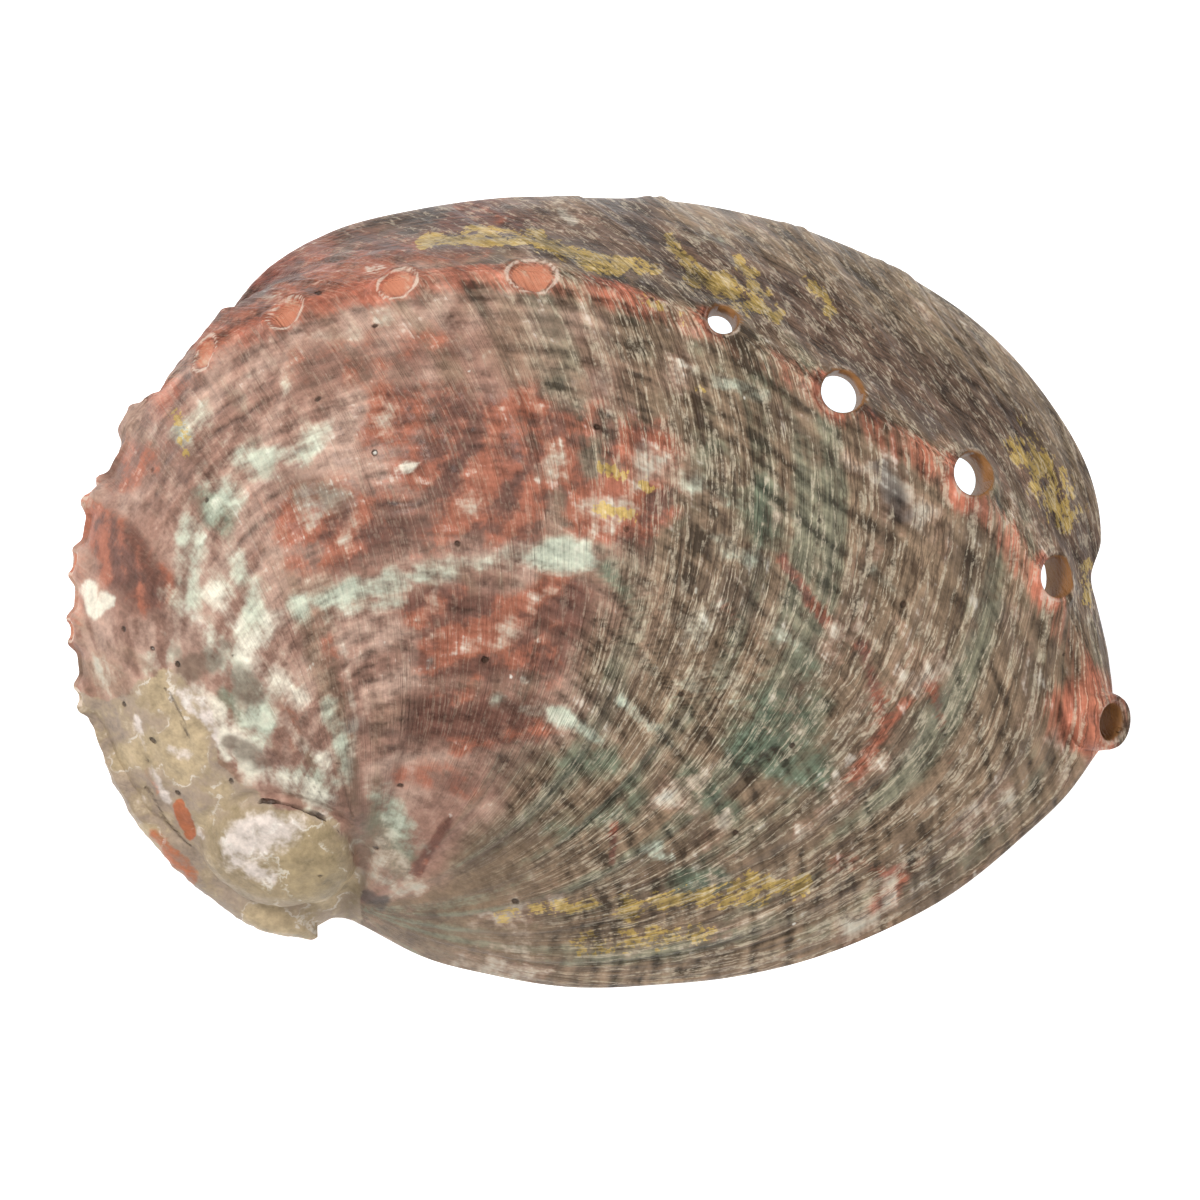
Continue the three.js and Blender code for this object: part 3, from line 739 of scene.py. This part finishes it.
class Wire:  # a node's socket that adds, multiplies and compares as a number does
    def __init__(self, kit, socket):
        self.kit = kit
        self.socket = socket

    def sum(self, operation, *others):
        values = dict(enumerate((self, *others)))
        return self.kit.node("ShaderNodeMath", {"operation": operation}, values)[0]

    def __add__(self, other):
        return self.sum("ADD", other)

    def __sub__(self, other):
        return self.sum("SUBTRACT", other)

    def __mul__(self, other):
        return self.sum("MULTIPLY", other)

    def __rsub__(self, other):
        return self.kit.node("ShaderNodeMath", {"operation": "SUBTRACT"}, {0: other, 1: self})[0]

    __radd__ = __add__
    __rmul__ = __mul__


class Kit:  # makes nodes in one material
    def __init__(self, name):
        self.material = bpy.data.materials.new(name)
        self.material.use_nodes = True
        self.tree = self.material.node_tree
        self.tree.nodes.clear()

    def node(self, kind, settings=None, inputs=None):
        made = self.tree.nodes.new(kind)
        for name, value in (settings or {}).items():
            if name == "stops":
                ramp = made.color_ramp
                while len(ramp.elements) < len(value):
                    ramp.elements.new(0.5)
                for element, (spot, colour) in zip(ramp.elements, value):
                    element.position = spot
                    element.color = (*colour, 1)
            else:
                setattr(made, name, value)
        for key, value in (inputs or {}).items():
            if isinstance(value, Wire):
                self.tree.links.new(value.socket, made.inputs[key])
            else:
                made.inputs[key].default_value = value
        return [Wire(self, s) for s in made.outputs]

    def mark(self, name):  # the three numbers that are kept under one name
        vector = self.node("ShaderNodeAttribute", {"attribute_name": name})[1]
        return self.node("ShaderNodeSeparateXYZ", None, {0: vector})[:3]

    def vector(self, x, y, z=0.0):
        return self.node("ShaderNodeCombineXYZ", None, {0: x, 1: y, 2: z})[0]

    def noise(self, place, scale, detail=3.0, rough=0.55, warp=0.0):
        values = {"Vector": place, "Scale": scale, "Detail": detail, "Roughness": rough, "Distortion": warp}
        return self.node("ShaderNodeTexNoise", {"noise_dimensions": "3D"}, values)[0]

    def step(self, value, low, high):
        settings = {"interpolation_type": "SMOOTHSTEP"}
        return self.node("ShaderNodeMapRange", settings, {0: value, 1: low, 2: high, 3: 0.0, 4: 1.0})[0]

    def blend(self, share, under, over, how="MIX"):
        settings = {"data_type": "RGBA", "blend_type": how, "clamp_factor": True, "clamp_result": False}
        under = under if isinstance(under, Wire) else (*under, 1)
        over = over if isinstance(over, Wire) else (*over, 1)
        return self.node("ShaderNodeMix", settings, {0: share, 6: under, 7: over})[2]


def shade(red, green, blue):  # a colour as seen on screen, 0 to 255, made linear
    linear = lambda c: c / 12.92 if c <= 0.04045 else ((c + 0.055) / 1.055) ** 2.4
    return tuple(linear(c / 255) for c in (red, green, blue))


shellTones = {
    "brick": shade(162, 98, 78),
    "maroon": shade(122, 84, 74),
    "rust": shade(184, 104, 66),
    "russet": shade(150, 84, 72),
    "mauve": shade(192, 160, 146),
    "rose": shade(170, 132, 118),
    "brown": shade(144, 122, 102),
    "umber": shade(108, 92, 80),
    "greyGreen": shade(144, 144, 124),
    "dusk": shade(116, 92, 80),
    "slate": shade(86, 78, 76),
    "sage": shade(200, 210, 194),
    "deepGreen": shade(104, 122, 104),
    "cream": shade(232, 226, 212),
    "ochre": shade(184, 156, 88),
    "salmon": shade(190, 112, 90),
    "infill": shade(196, 128, 100),
    "lipWhite": shade(216, 196, 178),
    "bore": shade(140, 98, 60),
    "tan": shade(196, 174, 140),
    "greyTan": shade(172, 152, 134),
    "pearl": shade(228, 214, 204),
    "olive": shade(170, 150, 114),
    "margin": shade(150, 128, 100),
    "line": shade(206, 192, 168),
    # painted shade: the dark put into pits, cracks, the spire's suture and the growth-line furrows
    "creviceShade": shade(62, 46, 36),
    "speck": shade(240, 234, 222),
}


def makeShellMaterial():
    kit = Kit("mottledShell")
    tone = shellTones
    red, plum, ochre = kit.mark("paintWarm")
    sage, cream, green = kit.mark("paintPale")
    flush, scar, lip = kit.mark("paintRow")
    outside, worn, bore = kit.mark("paintSide")
    slateAndGrooveShade, strength, past = kit.mark("paintDark")
    boxes, bands, clouds = kit.mark("patches")
    ribs, cords, crack = kit.mark("lines")
    growth, along, beyond = kit.mark("growthPlace")
    where = kit.node("ShaderNodeTexCoord")[3]
    hairs = kit.noise(kit.vector(growth * 1.7, along * 8.0), 1.0, 3.0, 0.62)
    threads = kit.noise(kit.vector(growth * 0.22, along * 74.0), 1.0, 2.0, 0.55)
    lumps = kit.noise(where, 420.0, 3.0, 0.65)
    grain = kit.noise(where, 1900.0, 2.0, 0.6)
    share, seam, russet = kit.mark("spireMark")
    wisps = kit.noise(kit.vector(growth * 0.62 + lumps * 0.5, along * 6.0), 1.0, 3.0, 0.6) - 0.5
    thin = (1 - kit.step(wisps * wisps, 0.0, 0.0009)) * kit.step(grain + lumps, 0.7, 1.2)
    # dark lines along the growth lines: painted shade in their furrows
    furrow = wisps - 0.09
    furrow = 1 - kit.step(furrow * furrow, 0.0, 0.0006)
    mottle = boxes - 0.5 + (clouds - 0.5) * 1.6 + (lumps - 0.5) * 1.3 + (hairs + threads - 1.0) * 0.5
    newer = 1 - kit.step(growth + (clouds - 0.5) * 30.0, 32.0, 60.0)

    base = kit.blend(kit.step(boxes + (lumps - 0.5) * 0.7, 0.3, 0.7), tone["rose"], tone["mauve"])
    base = kit.blend(kit.step(bands + (clouds - 0.5) * 0.6, 0.45, 0.85) * 0.6, base, tone["brown"])
    leafy = kit.step(bands + (lumps - 0.5) * 0.6, 0.45, 0.75)
    fresh = kit.blend(leafy * 0.8, tone["brown"], tone["greyGreen"])
    shaded = kit.step(threads + hairs + (boxes - 0.5) * 1.2, 0.95, 1.35)
    fresh = kit.blend(shaded * 0.7, fresh, tone["umber"])
    base = kit.blend(newer, base, fresh)
    farther = kit.blend(kit.step(beyond + (clouds - 0.5) * 0.6, 0.9, 1.3), tone["dusk"], tone["brown"])
    farther = kit.blend(kit.step(beyond + (clouds - 0.5) * 0.5, 1.5, 1.9), farther, tone["margin"])
    farther = kit.blend(russet * kit.step(clouds + (lumps - 0.5), 0.1, 0.45), farther, tone["russet"])
    base = kit.blend(past * 0.9, base, farther)
    base = kit.blend(kit.step(green + mottle * 0.7, 0.1, 0.95) * 0.85, base, tone["deepGreen"])
    ruddy = kit.blend(kit.step(boxes + (lumps - 0.5) * 1.2, 0.3, 0.7), tone["maroon"], tone["brick"])
    base = kit.blend(kit.step(red + mottle * 0.7, 0.08, 0.75) * 0.92, base, ruddy)
    base = kit.blend(kit.step(sage + mottle * 0.9, 0.3, 1.2) * 0.85, base, tone["sage"])
    base = kit.blend(kit.step(cream + mottle * 0.6, 0.2, 1.0) * 0.9, base, tone["cream"])
    base = kit.blend(kit.step(plum + mottle * 0.5, 0.2, 0.95) * 0.75, base, tone["umber"])
    # slate strokes, and painted shade in the groove
    base = kit.blend(kit.step(slateAndGrooveShade + mottle * 0.5, 0.2, 0.95) * 0.85, base, tone["slate"])
    blush = kit.step(flush + (clouds - 0.5) * 0.5 + (hairs - 0.5) * 0.9, 0.3, 0.95)
    base = kit.blend(blush * 0.8, base, tone["salmon"])
    ragged = (grain - 0.5) * 1.6 + (lumps - 0.5) * 3.4 + (hairs - 0.5) * 1.6
    crust = kit.step(ochre + ragged, 0.5, 0.72) * kit.step(ochre, 0.05, 0.25)

    base = kit.blend(crust * 0.85, base, tone["ochre"])
    lined = (strength * (newer * 0.4 + 0.6)).sum("MAXIMUM", past * 0.8)
    # painted light and shade across the ribs, cords and threads (crests lighter, hollows darker); with
    # random tone from patches, lumps and grain it scales the colour below
    ribLightAndShade = ((ribs - 0.5) * 0.8 + (hairs - 0.5) * 1.4) * (newer * 0.55 + 0.45)
    ribLightAndShade = ribLightAndShade + (cords - 0.5) * 0.9 + (threads - 0.5) * 1.7
    light = ribLightAndShade * lined + (boxes + clouds - 1.0) * 0.5 + (lumps - 0.5) * 1.1 + (grain - 0.5) * 0.45 + 0.8
    light = light.sum("MAXIMUM", 0.22)
    base = kit.blend(1.0, base, kit.vector(light, light * 0.985, light * 0.93), "MULTIPLY")
    # painted shade in the growth-line furrows
    base = kit.blend(furrow * lined * (newer * 0.4 + 0.15), base, tone["creviceShade"])
    base = kit.blend(thin * lined * (newer * 0.3 + 0.3), base, tone["line"])
    flecks = kit.step(threads + lumps + hairs + (boxes - 0.5) * 0.3, 1.7, 2.0) * strength
    base = kit.blend(flecks * 0.45, base, tone["cream"])

    spots = {"Vector": where, "Scale": 300.0, "Randomness": 1.0}
    cell = kit.node("ShaderNodeTexVoronoi", {"feature": "F1"}, spots)
    kind = kit.node("ShaderNodeSeparateColor", None, {0: cell[1]})
    # dark pits: painted shade in the small hollows that the bump sinks
    pitted = kit.step(kind[0] + (1 - strength) * 0.14, 0.86, 0.9)
    pitted = pitted * (1 - kit.step(cell[0] + (lumps - 0.5) * 0.3, 0.05, 0.14))
    base = kit.blend(pitted * 0.85, base, tone["creviceShade"])
    specked = kit.step(kind[1], 0.95, 0.97) * (1 - kit.step(cell[0] + (grain - 0.5) * 0.2, 0.03, 0.1))
    base = kit.blend(specked * 0.7, base, tone["speck"])

    bare = kit.blend(kit.step(clouds + (lumps - 0.5) * 0.6, 0.4, 0.66), tone["tan"], tone["greyTan"])
    bare = kit.blend(kit.step(lumps + (clouds - 0.5) * 0.6, 0.55, 0.8) * 0.6, bare, tone["olive"])
    whorl = 1 - kit.step(share + (lumps - 0.5) * 0.3, 0.85, 1.05)
    bare = kit.blend(whorl * 0.7, bare, tone["olive"])
    nacre = kit.step(cream + (lumps - 0.5) * 1.8 + (clouds - 0.5) * 0.8, 0.3, 1.0)
    bare = kit.blend(nacre * 0.9, bare, tone["pearl"])
    bare = kit.blend(kit.step(red + (lumps - 0.5) * 0.8, 0.35, 0.7) * 0.9, bare, tone["rust"])
    edge = clouds + (lumps - 0.5) * 0.5 - 0.52
    flake = (1 - kit.step(edge * edge, 0.0, 0.0009)) * kit.step(lumps, 0.45, 0.6)
    bare = kit.blend(flake * 0.45, bare, tone["speck"])
    light = (lumps - 0.5) * 1.1 + (grain - 0.5) * 0.4 + 0.8
    bare = kit.blend(1.0, bare, kit.vector(light, light, light), "MULTIPLY")
    bare = kit.blend(pitted * 0.8, bare, tone["creviceShade"])
    base = kit.blend(kit.step(worn + (lumps - 0.5) * 0.9, 0.35, 0.6), base, bare)
    # painted shade in the cracks
    base = kit.blend(kit.step(crack + (grain - 0.5) * 0.7, 0.35, 0.75) * 0.6, base, tone["creviceShade"])
    # the spire's suture: a dark line of painted shade in its crevice
    suture = share + (lumps - 0.5) * 0.14 - 1.03
    suture = (1 - kit.step(suture * suture, 0.0005, 0.003)) * kit.step(seam, 0.35, 0.8)
    base = kit.blend(suture * 0.9, base, tone["creviceShade"])
    healed = kit.blend(kit.step(lumps + (hairs - 0.5) * 0.5, 0.5, 0.7) * 0.6, tone["infill"], tone["line"])
    base = kit.blend(kit.step(scar + (lumps - 0.5) * 0.8, 0.3, 0.8) * 0.8, base, healed)
    base = kit.blend(kit.step(lip + (lumps - 0.5) * 1.3, 0.4, 0.9) * 0.7, base, tone["lipWhite"])
    base = kit.blend(bore, base, tone["bore"])

    sheen = kit.noise(where, 34.0, 3.0, 0.5, 1.2)
    wheel = {"stops": [
        (0.25, shade(196, 214, 208)), (0.4, shade(214, 196, 214)), (0.5, shade(176, 212, 196)),
        (0.6, shade(190, 196, 226)), (0.75, shade(230, 206, 204)),
    ]}
    pearly = kit.node("ShaderNodeValToRGB", wheel, {0: sheen})[0]
    base = kit.blend(outside, pearly, base)

    lineHeight = (hairs * 0.9 + threads * 0.5) * (strength * 0.85 + 0.15)
    hollows = pitted + kit.step(crack, 0.2, 0.8) + suture * 1.5
    height = (lineHeight + lumps * 0.4 - hollows) * outside + lumps * 0.05
    bump = kit.node("ShaderNodeBump", None, {"Strength": 0.9, "Distance": 0.0005, "Height": height})[0]
    rough = lumps * 0.25 + 0.2 + outside * 0.13
    finish = {
        "Base Color": base, "Roughness": rough, "Normal": bump, "Coat Weight": 0.03, "Coat Roughness": 0.15,
        "Specular IOR Level": 0.1,
    }
    surface = kit.node("ShaderNodeBsdfPrincipled", None, finish)[0]
    kit.node("ShaderNodeOutputMaterial", None, {"Surface": surface})
    return kit.material


print("shell: material")
shellBody.data.materials.clear()
shellBody.data.materials.append(makeShellMaterial())
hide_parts("shell")
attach(shellBody, "root")

studio = {
    "frameWidth": 145.4,  # what the photograph's 1200 pixels cover at the middle of the shell's height
    "aim": (0.18, -0.9),
    "height": 6.0,
    "lens": 420.0,
    "floorSize": 3.0,  # metres
    "roomLight": 0.22,
    "lights": [  # name, place and size in metres, power
        ("keyLight", (-0.38, 0.22, 0.8), 0.25, 7.0),
        ("fillLight", (0.5, -0.3, 0.75), 0.6, 2.2),
        ("topLight", (0.0, 0.0, 1.2), 0.8, 2.6),
    ],
}


def makeFloor():
    bm = bmesh.new()
    bmesh.ops.create_grid(bm, x_segments=1, y_segments=1, size=studio["floorSize"] / 2)
    mesh = bpy.data.meshes.new("floor")
    bm.to_mesh(mesh)
    bm.free()
    floor = bpy.data.objects.new("floor", mesh)
    floor.location.z = -0.0002
    bpy.context.collection.objects.link(floor)
    kit = Kit("paleFloor")
    finish = {
        "Base Color": (0.85, 0.85, 0.85, 1), "Roughness": 0.8,
        "Emission Color": (1, 1, 1, 1), "Emission Strength": 0.8,
    }
    surface = kit.node("ShaderNodeBsdfPrincipled", None, finish)[0]
    kit.node("ShaderNodeOutputMaterial", None, {"Surface": surface})
    mesh.materials.append(kit.material)


def addLight(name, place, size, power):
    lamp = bpy.data.lights.new(name, "AREA")
    lamp.shape = "DISK"
    lamp.size = size
    lamp.energy = power
    light = bpy.data.objects.new(name, lamp)
    light.location = place
    light.rotation_euler = Vector(place).to_track_quat("Z", "Y").to_euler()
    bpy.context.collection.objects.link(light)


def makeCamera():
    lens = bpy.data.cameras.new("camera")
    lens.lens = studio["lens"]
    lens.sensor_width = 36
    distance = studio["frameWidth"] * studio["lens"] / lens.sensor_width
    camera = bpy.data.objects.new("camera", lens)
    x, y = studio["aim"]
    camera.location = Vector((x, y, studio["height"] + distance)) * millimetre
    lens.clip_start = 0.01
    bpy.context.collection.objects.link(camera)
    bpy.context.scene.camera = camera


print("studio")
makeFloor()
for row in studio["lights"]:
    addLight(*row)
makeCamera()
scene = bpy.context.scene
world = bpy.data.worlds.new("softRoom")
scene.world = world
world.use_nodes = True
world.node_tree.nodes["Background"].inputs["Color"].default_value = (1, 1, 1, 1)
world.node_tree.nodes["Background"].inputs["Strength"].default_value = studio["roomLight"]
scene.view_settings.view_transform = "Standard"

triangles = sum(len(p.vertices) - 2 for p in shellBody.data.polygons)
print("triangles", triangles)
